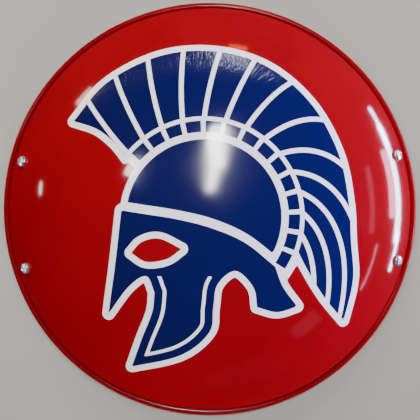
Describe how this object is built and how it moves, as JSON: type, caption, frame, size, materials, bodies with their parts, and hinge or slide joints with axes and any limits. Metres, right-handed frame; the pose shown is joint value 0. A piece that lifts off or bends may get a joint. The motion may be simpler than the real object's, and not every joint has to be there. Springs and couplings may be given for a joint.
{
  "type": "round dished shield",
  "caption": "Round dished steel shield with a rolled rim, a painted crested helmet on its face and leather arm straps screwed across its hollow back, lying face up.",
  "frame": {"origin": "on the surface that the rim rests on, under the middle of the dish", "axes": "+Z out of the face at the crown, +Y towards the top of the face, +X to the right for someone who looks at the face"},
  "size_m": [0.61, 0.61, 0.11],
  "materials": {
    "red_enamel": "gloss",
    "bright_zinc": "bright zinc plate",
    "brown_leather": "satin"
  },
  "bodies": {
    "root": {"dish": "red_enamel", "screw_upper_right": "bright_zinc", "screw_upper_left": "bright_zinc", "screw_lower_left": "bright_zinc", "screw_lower_right": "bright_zinc", "washer_upper_right": "bright_zinc", "washer_upper_left": "bright_zinc", "washer_lower_left": "bright_zinc", "washer_lower_right": "bright_zinc", "nut_upper_right": "bright_zinc", "nut_upper_left": "bright_zinc", "nut_lower_left": "bright_zinc", "nut_lower_right": "bright_zinc", "strap_upper": "brown_leather", "strap_lower": "brown_leather"}
  },
  "joints": []
}
